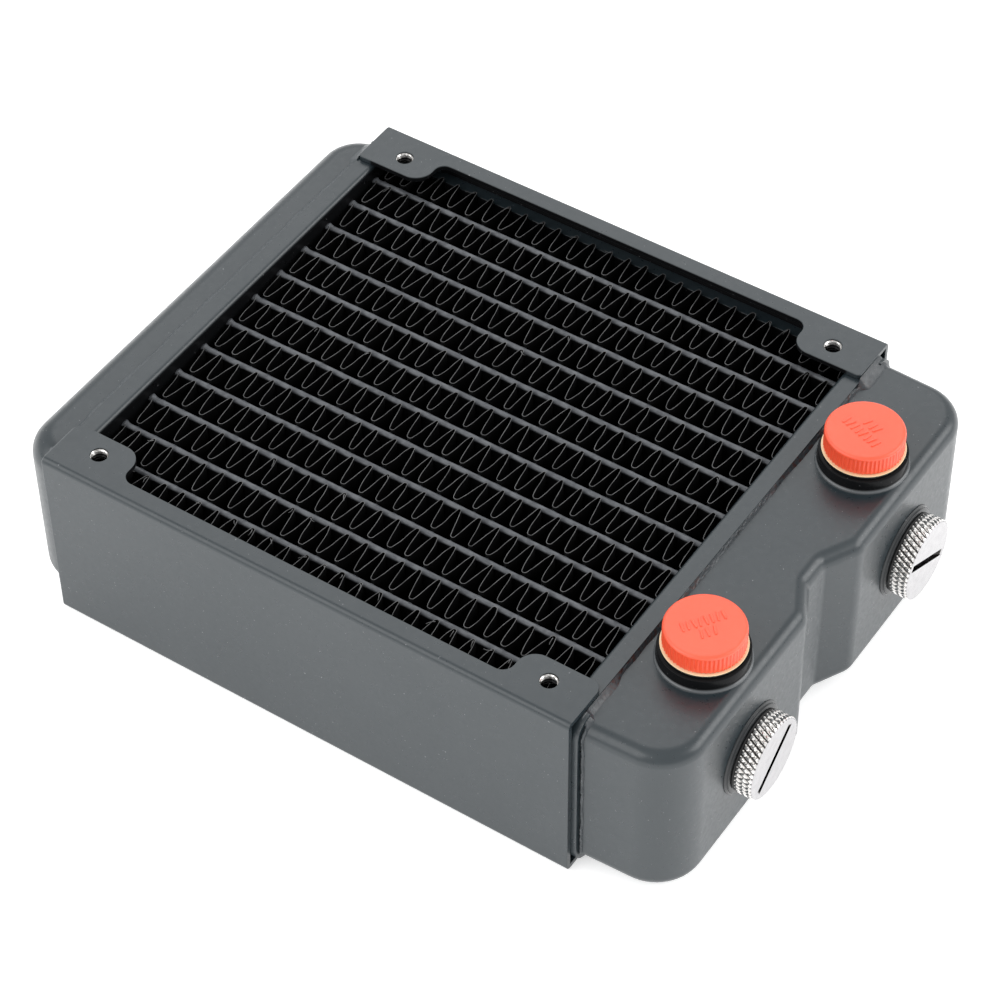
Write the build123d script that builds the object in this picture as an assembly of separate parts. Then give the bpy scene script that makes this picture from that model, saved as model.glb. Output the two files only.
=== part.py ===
from build123d import *
import math
import os

# A single-fan liquid cooling radiator: a tube-and-fin core between two soldered tanks, held by two
# side brackets. The origin is the centre of the fan-screw pattern on the underside. +X points to the
# tank with the ports, +Z is up, and "front" is the -Y side. All lengths are in millimetres.

# ---- Fan mounting ----
FAN_HOLE_SPACING = 105.0        # standard pattern of a 120 mm fan
FAN_HOLE_RADIUS = 1.45          # tapped for a 6-32 UNC screw
HOLE_COLLAR_RADIUS = 2.3        # sheet drawn inwards around each hole
HOLE_COLLAR_DEPTH = 1.6

# ---- Side brackets ----
BRACKET_LENGTH = 122.8
BRACKET_HEIGHT = 43.8
BRACKET_HALF_WIDTH = 59.7       # from the centre to the outer face of a bracket
SHEET = 1.2                     # steel of the brackets and the header plates
BEND_RADIUS = 1.3
FLANGE_WIDTH = 4.4              # narrow middle stretch of each flange
LOBE_WIDTH = 11.9               # wide screw pad at each end of a flange
LOBE_START = 45.0               # where a pad starts, from the middle
LOBE_CONVEX_RADIUS = 4.0
LOBE_CONCAVE_RADIUS = 2.5
FRONT_FLANGE_CORNER = 2.2
BACK_FLANGE_CORNER = 0.9

# ---- Core: flat tubes and corrugated fin strips ----
TUBE_COUNT = 12
TUBE_PITCH = 8.7
TUBE_THICKNESS = 1.5
TUBE_DEPTH = 34.4
TUBE_WALL = 0.3
TUBE_HALF_LENGTH = 60.0         # the ends stand 1.5 mm inside the tanks
FIN_DEPTH = 35.4
FIN_SHEET = 0.15
FIN_LEGS = 53                   # sheet stretches between crests, in one strip
FIN_PITCH = 4.28                # from one crest to the next on the same side
FIN_CREST_RADIUS = 0.6          # on the centre line of the sheet
FIN_GAP = 0.01                  # solder film between a crest and a tube
SIDE_PLATE_SHEET = 0.6
SIDE_PLATE_DEPTH = 32.8

# ---- Header plates and tanks ----
HEADER_FACE = 57.3              # core side of a header plate, from the middle
HEADER_LIP_TOP = 61.5           # where the lip ends above and below the tank
HEADER_LIP_SIDE = 62.6          # where the lip ends on the two sides
HEADER_LIP_STEP = 54.3          # half length of the shorter stretch of lip
TANK_WALL = 1.0
PORT_TANK_EDGE_RADIUS = 3.0
RETURN_TANK_EDGE_RADIUS = 5.0
TANK_STRAIGHT_END = 63.5        # the tank's sides start to draw in here
TANK_END_HALF_WIDTH = 56.6
PORT_TANK_END = 83.2
PORT_TANK_CORNER_RADIUS = 10.0
RETURN_TANK_END = 71.1
RETURN_TANK_CORNER_RADIUS = 9.0
NOTCH_DEPTH = 4.0               # vertical groove between the two chambers of the port tank
NOTCH_MOUTH_HALF = 10.5
NOTCH_FLOOR_HALF = 3.0
NOTCH_MOUTH_RADIUS = 5.0
NOTCH_FLOOR_RADIUS = 2.5
DIVIDER_SHEET = 1.2
SEAM_WIDTH = 0.8
SEAM_HEIGHT = 0.7

# ---- Ports: G1/4 threaded bushes ----
PORT_Y = 30.0
TOP_PORT_X = 72.1
PORT_BORE_RADIUS = 6.58         # major radius of the G1/4 thread
BUSH_SHANK_RADIUS = 7.6
BUSH_SHANK_DEPTH = 2.4
BUSH_FOOT_MARGIN = 0.5          # the foot reaches this far beyond the collar
TOP_COLLAR_RADIUS = 8.9
TOP_COLLAR_HEIGHT = 3.0
TOP_FOOT_HEIGHT = 0.6
END_COLLAR_RADIUS = 9.4
END_COLLAR_HEIGHT = 0.8
END_FOOT_HEIGHT = 0.3
BUSH_CHAMFER = 0.25

# ---- Closures: screw caps on top, stop plugs on the end ----
SHANK_CLEARANCE = 0.05
THREAD_LENGTH = 6.2             # screwed into the port, measured from the collar's face
SEAL_GAP = 0.03                 # between pieces that turn against each other
SEAL_INNER_RADIUS = 6.65
CAP_SEAL_RADIUS = 8.2
CAP_SEAL_HEIGHT = 0.7
CAP_WASHER_RADIUS = 8.62
CAP_WASHER_HEIGHT = 0.25
CAP_RADIUS = 8.0
CAP_HEIGHT = 4.8
CAP_RIM_HEIGHT = 0.7
CAP_RIBS = 60
CAP_RIB_DEPTH = 0.22
PLUG_SEAL_RADIUS = 8.6
PLUG_SEAL_HEIGHT = 0.6
PLUG_RADIUS = 8.75
PLUG_HEIGHT = 3.8
PLUG_CHAMFER = 0.3
PLUG_SLOT_LENGTH = 14.9
PLUG_SLOT_WIDTH = 1.6
PLUG_SLOT_DEPTH = 1.3
FRONT_SLOT_ANGLE = 41.0         # from +Y towards +Z
BACK_SLOT_ANGLE = -27.0

# ---- Worked-out sizes ----
MID_HEIGHT = BRACKET_HEIGHT / 2
WEB_INNER = BRACKET_HALF_WIDTH - SHEET
HEADER_LOW = SHEET
HEADER_HIGH = BRACKET_HEIGHT - SHEET
HEADER_OUTER = HEADER_FACE + SHEET
TANK_HALF_WIDTH = WEB_INNER - SHEET
TANK_LOW = HEADER_LOW + SHEET
TANK_HIGH = HEADER_HIGH - SHEET
TANK_HEIGHT = TANK_HIGH - TANK_LOW
FIN_HEIGHT = TUBE_PITCH - TUBE_THICKNESS
CORE_HALF_WIDTH = TUBE_PITCH * (TUBE_COUNT + 1) / 2 - TUBE_THICKNESS / 2
SHANK_RADIUS = PORT_BORE_RADIUS - SHANK_CLEARANCE


def box_between(low, high):
    """Box from its lowest corner to its highest corner."""
    size = [b - a for a, b in zip(low, high)]
    return Pos(*low) * Box(*size, align=(Align.MIN, Align.MIN, Align.MIN))


def bar_along_x(x_low, x_high, half_width, z_low, z_high, radius):
    """Straight bar along X with its four long edges rounded."""
    section = RectangleRounded(2 * half_width, z_high - z_low, radius)
    start = Plane.YZ.offset(x_low) * Pos(0, (z_low + z_high) / 2)
    return extrude(start * section, x_high - x_low)


def rounded_outline(points, corners):
    """Flat face through the points, with the corner at each listed point rounded."""
    face = make_face(Polyline(*points, close=True))
    for point, radius in corners:
        corner = face.vertices().sort_by_distance(Vector(*point, 0))[0]
        face = fillet(corner, radius)
    return face


# ---- Side brackets ----

def flange_outline(corner_radius):
    """Front flange from above: a narrow strip with a wide screw pad at each end."""
    end = BRACKET_LENGTH / 2
    outer = -BRACKET_HALF_WIDTH
    strip = outer + FLANGE_WIDTH
    pad = outer + LOBE_WIDTH
    points = [
        (-end, outer), (end, outer), (end, pad), (LOBE_START, pad), (LOBE_START, strip),
        (-LOBE_START, strip), (-LOBE_START, pad), (-end, pad),
    ]
    corners = []
    for side in (-1, 1):
        corners.append(((side * end, pad), corner_radius))
        corners.append(((side * LOBE_START, pad), LOBE_CONVEX_RADIUS))
        corners.append(((side * LOBE_START, strip), LOBE_CONCAVE_RADIUS))
    return rounded_outline(points, corners)


def fan_hole_places():
    """Centres of the two fan holes in the front bracket."""
    half = FAN_HOLE_SPACING / 2
    return [(-half, -half), (half, -half)]


def front_bracket(corner_radius):
    """Folded channel with four tapped fan holes, each in a short drawn collar."""
    end = BRACKET_LENGTH / 2
    outline = flange_outline(corner_radius)
    inner_top = BRACKET_HEIGHT - SHEET
    shape = box_between((-end, -BRACKET_HALF_WIDTH, 0), (end, -WEB_INNER, BRACKET_HEIGHT))
    shape += extrude(outline, SHEET)
    shape += extrude(Pos(0, 0, inner_top) * outline, SHEET)
    bends = shape.edges().filter_by(Axis.X).filter_by(
        lambda edge: abs(edge.center().Y + BRACKET_HALF_WIDTH) < 0.01
    )
    shape = fillet(bends, BEND_RADIUS)
    for x, y in fan_hole_places():
        for z in (SHEET + HOLE_COLLAR_DEPTH / 2, inner_top - HOLE_COLLAR_DEPTH / 2):
            shape += Pos(x, y, z) * Cylinder(HOLE_COLLAR_RADIUS, HOLE_COLLAR_DEPTH)
    for x, y in fan_hole_places():
        for z in (0, BRACKET_HEIGHT):
            shape -= Pos(x, y, z) * Cylinder(FAN_HOLE_RADIUS, 3 * (SHEET + HOLE_COLLAR_DEPTH))
    return shape


# ---- Core ----

def tube_positions():
    """Y of every tube, from the front to the back."""
    middle = (TUBE_COUNT - 1) / 2
    return [(index - middle) * TUBE_PITCH for index in range(TUBE_COUNT)]


def tube_section(inset=0.0):
    """Flat tube across its length, standing on edge, in a plane that faces along X."""
    return SlotOverall(TUBE_DEPTH - 2 * inset, TUBE_THICKNESS - 2 * inset, rotation=90)


def tube(y):
    """Flat brass tube, open at both ends."""
    start = Plane.YZ.offset(-TUBE_HALF_LENGTH) * Pos(y, MID_HEIGHT)
    section = tube_section() - tube_section(TUBE_WALL)
    return extrude(start * section, 2 * TUBE_HALF_LENGTH)


def fin_side(side):
    """One face of the corrugated sheet from above: crest arcs joined by straight legs."""
    height = FIN_HEIGHT - FIN_SHEET - 2 * FIN_GAP
    rise = height - 2 * FIN_CREST_RADIUS
    run = FIN_PITCH / 2
    slant = math.degrees(
        math.atan2(run, rise) - math.asin(2 * FIN_CREST_RADIUS / math.hypot(run, rise))
    )
    arcs = []
    for crest in range(FIN_LEGS + 1):
        up = 1 if crest % 2 == 0 else -1
        centre = ((crest - FIN_LEGS / 2) * run, up * rise / 2)
        start = 90 if crest == 0 else 180 - slant
        stop = 90 if crest == FIN_LEGS else slant
        radius = FIN_CREST_RADIUS + up * side * FIN_SHEET / 2
        arcs.append(CenterArc(centre, radius, up * start, up * (stop - start)))
    legs = [Line(one @ 1, other @ 0) for one, other in zip(arcs, arcs[1:])]
    return arcs, legs


def fin_strip():
    """Corrugated copper strip, centred on its own row."""
    upper_arcs, upper_legs = fin_side(1)
    lower_arcs, lower_legs = fin_side(-1)
    ends = [
        Line(upper_arcs[0] @ 0, lower_arcs[0] @ 0),
        Line(upper_arcs[-1] @ 1, lower_arcs[-1] @ 1),
    ]
    outline = Wire(upper_arcs + upper_legs + lower_arcs + lower_legs + ends)
    low = MID_HEIGHT - FIN_DEPTH / 2
    return extrude(Pos(0, 0, low) * Face(outline), FIN_DEPTH, dir=(0, 0, 1))


def front_side_plate():
    """Channel that backs the outermost fins and stands off the bracket."""
    low = MID_HEIGHT - SIDE_PLATE_DEPTH / 2
    high = MID_HEIGHT + SIDE_PLATE_DEPTH / 2
    web = -CORE_HALF_WIDTH - SIDE_PLATE_SHEET
    shape = box_between((-HEADER_FACE, -WEB_INNER, low), (HEADER_FACE, -CORE_HALF_WIDTH, high))
    shape -= box_between(
        (-HEADER_FACE, -WEB_INNER, low + SIDE_PLATE_SHEET),
        (HEADER_FACE, web, high - SIDE_PLATE_SHEET),
    )
    return shape


# ---- Header plates and tanks ----

def header(edge_radius):
    """Tube plate pressed as a shallow pan that the tank's open side sits in."""
    shape = bar_along_x(
        HEADER_FACE, HEADER_LIP_SIDE, WEB_INNER, HEADER_LOW, HEADER_HIGH, edge_radius + SHEET
    )
    rim = shape.faces().sort_by(Axis.X)[0].edges()
    shape = fillet(rim, BEND_RADIUS - 0.1)
    shape -= bar_along_x(
        HEADER_OUTER, HEADER_LIP_SIDE, TANK_HALF_WIDTH, TANK_LOW, TANK_HIGH, edge_radius
    )
    shape -= box_between(
        (HEADER_LIP_TOP, -HEADER_LIP_STEP, 0), (HEADER_LIP_SIDE, HEADER_LIP_STEP, BRACKET_HEIGHT)
    )
    for y in tube_positions():
        hole = Plane.YZ.offset(HEADER_FACE) * Pos(y, MID_HEIGHT) * tube_section()
        shape -= extrude(hole, SHEET)
    return shape


def tank_solid(half_outline, corners, edge_radius, inset):
    """Closed tank block: a plan outline mirrored about Y = 0, with rounded upper and lower edges."""
    points = half_outline + [(x, -y) for x, y in reversed(half_outline)]
    both = corners + [((x, -y), radius) for (x, y), radius in corners]
    face = rounded_outline(points, both)
    solid = extrude(Pos(0, 0, TANK_LOW + inset) * face, TANK_HEIGHT - 2 * inset)
    open_side = HEADER_OUTER + 0.01
    rounded = ShapeList()
    for end in (0, -1):
        edges = solid.faces().sort_by(Axis.Z)[end].edges()
        rounded += edges.filter_by(lambda edge: edge.center().X > open_side)
    return fillet(rounded, edge_radius - inset)


def port_tank_solid(inset=0.0):
    """Outside of the port tank, or its cavity when inset by the wall."""
    side = TANK_HALF_WIDTH - inset
    end_side = TANK_END_HALF_WIDTH - inset
    end = PORT_TANK_END - inset
    flank = math.atan2(NOTCH_DEPTH, NOTCH_MOUTH_HALF - NOTCH_FLOOR_HALF)
    shift = inset * math.tan(flank / 2)
    mouth = (end, NOTCH_MOUTH_HALF + shift)
    floor = (end - NOTCH_DEPTH, NOTCH_FLOOR_HALF + shift)
    outline = [
        (HEADER_OUTER, side), (TANK_STRAIGHT_END, side), (end, end_side), mouth, floor,
    ]
    corners = [
        ((end, end_side), PORT_TANK_CORNER_RADIUS - inset),
        (mouth, NOTCH_MOUTH_RADIUS - inset),
        (floor, NOTCH_FLOOR_RADIUS + inset),
    ]
    return tank_solid(outline, corners, PORT_TANK_EDGE_RADIUS, inset)


def return_tank_solid(inset=0.0):
    """Outside of the return tank, or its cavity, drawn on the +X side."""
    side = TANK_HALF_WIDTH - inset
    end = RETURN_TANK_END - inset
    outline = [(HEADER_OUTER, side), (end, side)]
    corners = [((end, side), RETURN_TANK_CORNER_RADIUS - inset)]
    return tank_solid(outline, corners, RETURN_TANK_EDGE_RADIUS, inset)


def port_places():
    """Kind, name and seat on the tank of the four ports."""
    places = []
    for name, y in (("front", -PORT_Y), ("back", PORT_Y)):
        places.append(("top", name, Location((TOP_PORT_X, y, TANK_HIGH))))
        places.append(("end", name, Location((PORT_TANK_END, y, MID_HEIGHT), (0, 90, 0))))
    return places


def port_tank():
    """Drawn brass tank, open to the core, with four holes for the bushes."""
    shape = port_tank_solid() - port_tank_solid(TANK_WALL)
    for _, _, seat in port_places():
        shape -= seat * Cylinder(BUSH_SHANK_RADIUS, 4 * TANK_WALL)
    return shape


def return_tank():
    """Shallow tank at the far end, where the coolant turns back."""
    return Rot(0, 0, 180) * (return_tank_solid() - return_tank_solid(TANK_WALL))


def tank_divider():
    """Sheet that splits the port tank into an inlet and an outlet chamber."""
    half = DIVIDER_SHEET / 2
    sheet = box_between((HEADER_OUTER, -half, 0), (PORT_TANK_END, half, BRACKET_HEIGHT))
    return sheet & port_tank_solid(TANK_WALL)


def solder_seam(edge_radius):
    """Bead of solder around a tank where it leaves the header pan."""
    end = HEADER_LIP_SIDE + SEAM_WIDTH
    shape = bar_along_x(
        HEADER_LIP_SIDE, end, TANK_HALF_WIDTH + SEAM_HEIGHT, TANK_LOW - SEAM_HEIGHT,
        TANK_HIGH + SEAM_HEIGHT, edge_radius + SEAM_HEIGHT,
    )
    crown = shape.faces().sort_by(Axis.X)[-1].edges()
    shape = fillet(crown, SEAM_HEIGHT / 2)
    return shape - bar_along_x(
        HEADER_LIP_SIDE, end, TANK_HALF_WIDTH, TANK_LOW, TANK_HIGH, edge_radius
    )


def port_seam():
    """Seam of the port tank, interrupted by the feet of the top bushes."""
    shape = solder_seam(PORT_TANK_EDGE_RADIUS)
    for y in (-PORT_Y, PORT_Y):
        foot = Cylinder(TOP_COLLAR_RADIUS + BUSH_FOOT_MARGIN, 4 * SEAM_HEIGHT)
        shape -= Pos(TOP_PORT_X, y, TANK_HIGH) * foot
    return shape


# ---- Ports and closures, drawn along +Z ----

def upright(radius, z_low, z_high):
    """Cylinder on the Z axis between two heights."""
    height = z_high - z_low
    return Pos(0, 0, z_low) * Cylinder(radius, height, align=(Align.CENTER, Align.CENTER, Align.MIN))


def port_bush(seat, collar_radius, collar_height, foot_height):
    """Threaded brass bush: a collar seated on the tank and a shank through its wall."""
    collar = upright(collar_radius, -PORT_TANK_EDGE_RADIUS, collar_height)
    collar = chamfer(collar.edges().sort_by(Axis.Z)[-1], BUSH_CHAMFER)
    foot = upright(collar_radius + BUSH_FOOT_MARGIN, -PORT_TANK_EDGE_RADIUS, foot_height)
    outside = seat * (collar + foot) - port_tank_solid()
    shank = seat * upright(BUSH_SHANK_RADIUS, -BUSH_SHANK_DEPTH, foot_height)
    bore = seat * upright(PORT_BORE_RADIUS, -BUSH_SHANK_DEPTH, collar_height)
    return outside + shank - bore


def seal_ring(radius, height):
    """Rubber ring squeezed between a closure and the collar, with rounded outer edges."""
    ring = upright(radius, SEAL_GAP, SEAL_GAP + height)
    ring = fillet(ring.edges(), 0.4 * height)
    return ring - upright(SEAL_INNER_RADIUS, 0, SEAL_GAP + height)


def cap_washer():
    """Thin pale washer under the screw cap."""
    low = SEAL_GAP + CAP_SEAL_HEIGHT
    washer = upright(CAP_WASHER_RADIUS, low, low + CAP_WASHER_HEIGHT)
    return washer - upright(SEAL_INNER_RADIUS, low, low + CAP_WASHER_HEIGHT)


def ribbed_outline():
    """Outline of the cap's grip from above: ribs all round."""
    points = []
    for index in range(2 * CAP_RIBS):
        angle = math.pi * index / CAP_RIBS
        radius = CAP_RADIUS - CAP_RIB_DEPTH * (index % 2)
        points.append((radius * math.cos(angle), radius * math.sin(angle)))
    return make_face(Polyline(*points, close=True))


def screw_cap():
    """Moulded cap with a ribbed grip, a plain rim at the top and a threaded shank."""
    low = 2 * SEAL_GAP + CAP_SEAL_HEIGHT + CAP_WASHER_HEIGHT
    top = low + CAP_HEIGHT
    grip = extrude(Pos(0, 0, low) * ribbed_outline(), CAP_HEIGHT - CAP_RIM_HEIGHT)
    rim = upright(CAP_RADIUS, top - CAP_RIM_HEIGHT, top)
    rim = fillet(rim.edges().sort_by(Axis.Z)[-1], 0.9 * CAP_RIM_HEIGHT)
    return grip + rim + upright(SHANK_RADIUS, -THREAD_LENGTH, low)


def stop_plug(slot_angle):
    """Knurled plug with a coin slot across its face and a threaded shank."""
    low = 2 * SEAL_GAP + PLUG_SEAL_HEIGHT
    top = low + PLUG_HEIGHT
    head = upright(PLUG_RADIUS, low, top)
    rims = head.edges().filter_by(GeomType.CIRCLE)
    head = chamfer(rims, PLUG_CHAMFER)
    slot = Box(PLUG_SLOT_WIDTH, PLUG_SLOT_LENGTH, 2 * PLUG_SLOT_DEPTH)
    head -= Pos(0, 0, top) * Rot(0, 0, slot_angle) * slot
    return head + upright(SHANK_RADIUS, -THREAD_LENGTH, low)


def port_pieces(kind, name, seat):
    """One port's bush and the pieces that close it, in place, under their names."""
    if kind == "top":
        face = seat * Pos(0, 0, TOP_COLLAR_HEIGHT)
        return {
            "top_port_bush_" + name:
                port_bush(seat, TOP_COLLAR_RADIUS, TOP_COLLAR_HEIGHT, TOP_FOOT_HEIGHT),
            "cap_seal_" + name: face * seal_ring(CAP_SEAL_RADIUS, CAP_SEAL_HEIGHT),
            "cap_washer_" + name: face * cap_washer(),
            "screw_cap_" + name: face * screw_cap(),
        }
    face = seat * Pos(0, 0, END_COLLAR_HEIGHT)
    slot_angle = FRONT_SLOT_ANGLE if name == "front" else BACK_SLOT_ANGLE
    return {
        "end_port_bush_" + name:
            port_bush(seat, END_COLLAR_RADIUS, END_COLLAR_HEIGHT, END_FOOT_HEIGHT),
        "plug_seal_" + name: face * seal_ring(PLUG_SEAL_RADIUS, PLUG_SEAL_HEIGHT),
        "stop_plug_" + name: face * stop_plug(slot_angle),
    }


# ---- Assembly ----

def assembly():
    """Every piece under its own name."""
    side_plate = front_side_plate()
    parts = {
        "side_bracket_front": front_bracket(FRONT_FLANGE_CORNER),
        "side_bracket_back": mirror(front_bracket(BACK_FLANGE_CORNER), Plane.XZ),
        "core_side_plate_front": side_plate,
        "core_side_plate_back": mirror(side_plate, Plane.XZ),
        "port_header": header(PORT_TANK_EDGE_RADIUS),
        "return_header": mirror(header(RETURN_TANK_EDGE_RADIUS), Plane.YZ),
        "port_tank": port_tank(),
        "return_tank": return_tank(),
        "tank_divider": tank_divider(),
        "port_tank_seam": port_seam(),
        "return_tank_seam": mirror(solder_seam(RETURN_TANK_EDGE_RADIUS), Plane.YZ),
    }
    for number, y in enumerate(tube_positions(), 1):
        parts[f"tube_{number:02d}"] = tube(y)
    strip = fin_strip()
    for row in range(TUBE_COUNT + 1):
        y = (row - TUBE_COUNT / 2) * TUBE_PITCH
        parts[f"fin_strip_{row + 1:02d}"] = Pos(0, y, 0) * strip
    for kind, name, seat in port_places():
        parts.update(port_pieces(kind, name, seat))
    return parts


os.makedirs("parts", exist_ok=True)
for node, shape in assembly().items():
    export_step(shape, f"parts/{node}.step")
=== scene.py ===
import math
import random

import bmesh
import bpy
from mathutils import Matrix, Vector, noise


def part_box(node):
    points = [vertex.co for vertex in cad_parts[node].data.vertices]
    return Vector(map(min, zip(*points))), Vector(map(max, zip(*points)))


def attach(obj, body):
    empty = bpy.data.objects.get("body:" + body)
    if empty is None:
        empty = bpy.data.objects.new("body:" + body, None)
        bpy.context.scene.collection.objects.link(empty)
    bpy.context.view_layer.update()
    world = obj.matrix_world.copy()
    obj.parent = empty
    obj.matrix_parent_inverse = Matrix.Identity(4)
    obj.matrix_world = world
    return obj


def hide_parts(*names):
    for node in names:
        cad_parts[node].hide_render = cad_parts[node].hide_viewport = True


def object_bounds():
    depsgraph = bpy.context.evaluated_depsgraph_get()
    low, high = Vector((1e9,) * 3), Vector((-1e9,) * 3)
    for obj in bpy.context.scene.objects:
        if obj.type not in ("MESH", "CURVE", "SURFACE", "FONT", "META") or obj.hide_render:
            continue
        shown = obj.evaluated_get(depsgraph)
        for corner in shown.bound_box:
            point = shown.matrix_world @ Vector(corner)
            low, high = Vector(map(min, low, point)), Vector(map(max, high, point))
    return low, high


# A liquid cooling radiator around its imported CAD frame. Lengths are in metres, written in
# millimetres times MM. +X points to the tank with the ports, and the front is the -Y side.

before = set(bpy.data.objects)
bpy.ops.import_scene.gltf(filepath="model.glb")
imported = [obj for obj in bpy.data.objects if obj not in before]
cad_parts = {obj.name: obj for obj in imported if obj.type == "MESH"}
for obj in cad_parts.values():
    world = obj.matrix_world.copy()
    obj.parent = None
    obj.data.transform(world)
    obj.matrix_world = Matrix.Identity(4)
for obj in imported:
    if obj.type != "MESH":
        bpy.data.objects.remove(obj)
cad_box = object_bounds()

MM = 0.001
ROOT = "radiator"
SIDES = ("front", "back")
WELD = 0.002 * MM

# ---- Camera and light ----
CAMERA_PLACE = Vector((263.11, -379.41, 509.40)) * MM
CAMERA_TURN_DEG = (42.995, 0.436, 33.585)
CAMERA_LENS = 118.67
FLOOR_HALF = 2.5

# ---- Brackets and header plates ----
BRACKET_END = 61.4 * MM
EDGE_ROUND = 0.28 * MM              # rounding of a bracket's sheet edges
LIP_ROUND = 0.40 * MM               # the same on a header plate
SIDE_PLATE_ROUND = 0.1 * MM
HOLE_LEAD_IN = 0.26 * MM
FAN_HOLE_SPACING = 105.0 * MM
CAD_HOLE_RADIUS = 1.45 * MM
THREAD_ROOT_RADIUS = 1.80 * MM
FAN_THREAD_DEPTH = 0.32 * MM
FAN_THREAD_PITCH = 0.794 * MM
FAN_THREAD_LENGTH = 2.45 * MM

# ---- Core ----
TUBE_WALL = 0.3 * MM
TUBE_WANDER = 0.10 * MM
TUBE_STEPS = 300
SOLDER_DOT = 0.17 * MM
FIN_LEGS = 53
FIN_PITCH = 4.28 * MM
FIN_SHEET = 0.11 * MM
FIN_FAR_RADIUS = 0.42 * MM          # crests on the +Y side of a strip
FIN_NEAR_RADIUS = 0.66 * MM         # crests on the -Y side of a strip
FIN_JITTER = 0.13 * MM
FIN_BOW = 0.08 * MM
BURR_SHEET = 0.17 * MM

# ---- Tanks and seams ----
TANK_WALL = 1.0 * MM
PORT_EDGE_RADIUS = 3.0 * MM
RETURN_EDGE_RADIUS = 5.0 * MM
TANK_STRAIGHT = 5.0 * MM            # from the open side to where the port tank draws in
PORT_END_HALF_WIDTH = 56.6 * MM
PORT_CORNER_RADIUS = 10.0 * MM
RETURN_CORNER_RADIUS = 9.0 * MM
NOTCH_DEPTH = 4.0 * MM
NOTCH_MOUTH_HALF = 10.5 * MM
NOTCH_FLOOR_HALF = 3.0 * MM
NOTCH_MOUTH_RADIUS = 5.0 * MM
NOTCH_FLOOR_RADIUS = 2.5 * MM
BUSH_HOLE_RADIUS = 7.6 * MM
LIP_TOP_END = 61.5 * MM             # where the header's lip ends over the tank's flat top
LIP_SIDE_END = 62.6 * MM            # the same on the sides
LIP_STEP = 54.3 * MM                # |y| where one becomes the other

# ---- Ports and closures ----
BUSH_FOOT_HEIGHT = {"top": 0.6 * MM, "end": 0.3 * MM}
BUSH_FOOT_MARGIN = 0.5 * MM         # the foot reaches this far beyond the collar
BUSH_SHANK_RADIUS = 7.55 * MM
BUSH_SHANK_DEPTH = 2.4 * MM
PORT_THREAD_PITCH = 1.337 * MM
PORT_THREAD_RADIUS = 6.58 * MM
PORT_THREAD_DEPTH = 0.62 * MM
PORT_THREAD_PLAY = 0.15 * MM
SHANK_LENGTH = 6.2 * MM
SEAL_INNER_RADIUS = 6.65 * MM
WASHER_WEAR = 0.26 * MM
CAP_RIBS = 60
CAP_RIB_DEPTH = 0.22 * MM
CAP_RIM_ROUND = 0.66 * MM
CAP_MARK_HEIGHT = 0.22 * MM
MARK_LENGTH = 2.3 * MM
MARK_WIDTH = 0.48 * MM
MARK_ROWS = ((1.1, (-4.2, -3.0, -1.8, -0.6, 0.6, 1.8, 3.0, 4.2)), (-1.7, (-1.5, -0.3, 1.2)))
MARK_ANGLE_DEG = {"front": 55.0, "back": 161.0}
KNURL_TEETH = 46
KNURL_PITCH = 2.7 * MM
KNURL_DEPTH = 0.50 * MM
SLOT_LENGTH = 14.9 * MM
SLOT_WIDTH = 1.55 * MM
SLOT_DEPTH = 1.3 * MM
SLOT_ANGLE_DEG = {"front": 41.0, "back": -27.0}
ROUND_STEPS = 128                   # steps round a bush, seal or washer


# ---- Small helpers ----

def piece_from(name, shape, material, body, nodes, sharp_deg=40.0):
    """Turns a bmesh into a finished piece that stands for the named CAD nodes."""
    bmesh.ops.recalc_face_normals(shape, faces=shape.faces)
    mesh = bpy.data.meshes.new(name)
    shape.to_mesh(mesh)
    shape.free()
    mesh.shade_smooth()
    mesh.set_sharp_from_angle(angle=math.radians(sharp_deg))
    mesh.materials.append(material)
    piece = bpy.data.objects.new(name, mesh)
    bpy.context.scene.collection.objects.link(piece)
    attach(piece, body)
    if nodes:
        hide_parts(*nodes)
    return piece


def skin_rings(shape, rings, close_rows=True, close_stack=False):
    """Faces between consecutive rings of equal length. Returns the rings' vertices."""
    rows = [[shape.verts.new(point) for point in ring] for ring in rings]
    stacks = list(zip(rows, rows[1:]))
    if close_stack:
        stacks.append((rows[-1], rows[0]))
    for one, other in stacks:
        count = len(one)
        last = count if close_rows else count - 1
        for index in range(last):
            after = (index + 1) % count
            shape.faces.new((one[index], one[after], other[after], other[index]))
    return rows


def turned(profile, place, steps):
    """Body of revolution: profile(angle) gives its closed outline as (radius, height) pairs."""
    shape = bmesh.new()
    rings = []
    for step in range(steps):
        angle = math.tau * step / steps
        along, across = math.cos(angle), math.sin(angle)
        rings.append([place @ Vector((r * along, r * across, z)) for r, z in profile(angle)])
    skin_rings(shape, rings, close_stack=True)
    bmesh.ops.remove_doubles(shape, verts=shape.verts, dist=WELD)
    return shape


def arc(centre, radius, start_deg, stop_deg, count):
    """Points on a circle from one angle to another, ends included."""
    points = []
    for index in range(count + 1):
        angle = math.radians(start_deg + (stop_deg - start_deg) * index / count)
        points.append((centre[0] + radius * math.cos(angle), centre[1] + radius * math.sin(angle)))
    return points


def wave(value):
    """Triangle wave from 0 to 1 and back, once per unit."""
    return abs(2 * (value % 1.0) - 1)


def thread_share(height, angle, pitch):
    """How far a right-hand thread stands up at a place on its cylinder, from 0 to 1."""
    rise = wave(height / pitch - angle / math.tau)
    return min(1.0, max(0.0, 1.5 * rise - 0.25))


def ramp_levels(low, high, count):
    """Evenly spaced values, ends included."""
    return [low + (high - low) * index / count for index in range(count + 1)]


def smooth_step(value):
    """Eases from 0 to 1."""
    value = min(1.0, max(0.0, value))
    return value * value * (3 - 2 * value)


# ---- Materials ----

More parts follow.
